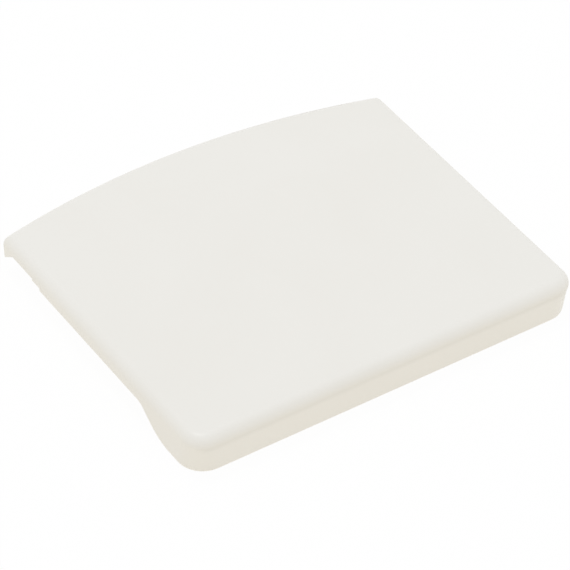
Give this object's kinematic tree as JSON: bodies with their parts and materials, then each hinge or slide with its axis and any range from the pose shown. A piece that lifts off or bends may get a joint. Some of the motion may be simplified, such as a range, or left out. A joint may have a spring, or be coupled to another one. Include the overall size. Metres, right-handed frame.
{
  "type": "washing machine door handle",
  "caption": "Flat moulded door handle plate with a curved back edge, a raked finger lip along the straight front, rounded top edges and pivot ears underneath.",
  "frame": {"origin": "under the middle of the plate's bounding box, level with the lower edge of the grip lip", "axes": "+X along the grip lip, across the handle; +Y from the grip lip to the curved back edge; +Z out of the top face"},
  "size_m": [0.1156, 0.0996, 0.0114],
  "materials": {
    "white_plastic": "satin warm white moulding"
  },
  "bodies": {
    "root": {"door_handle": "white_plastic"}
  },
  "joints": []
}
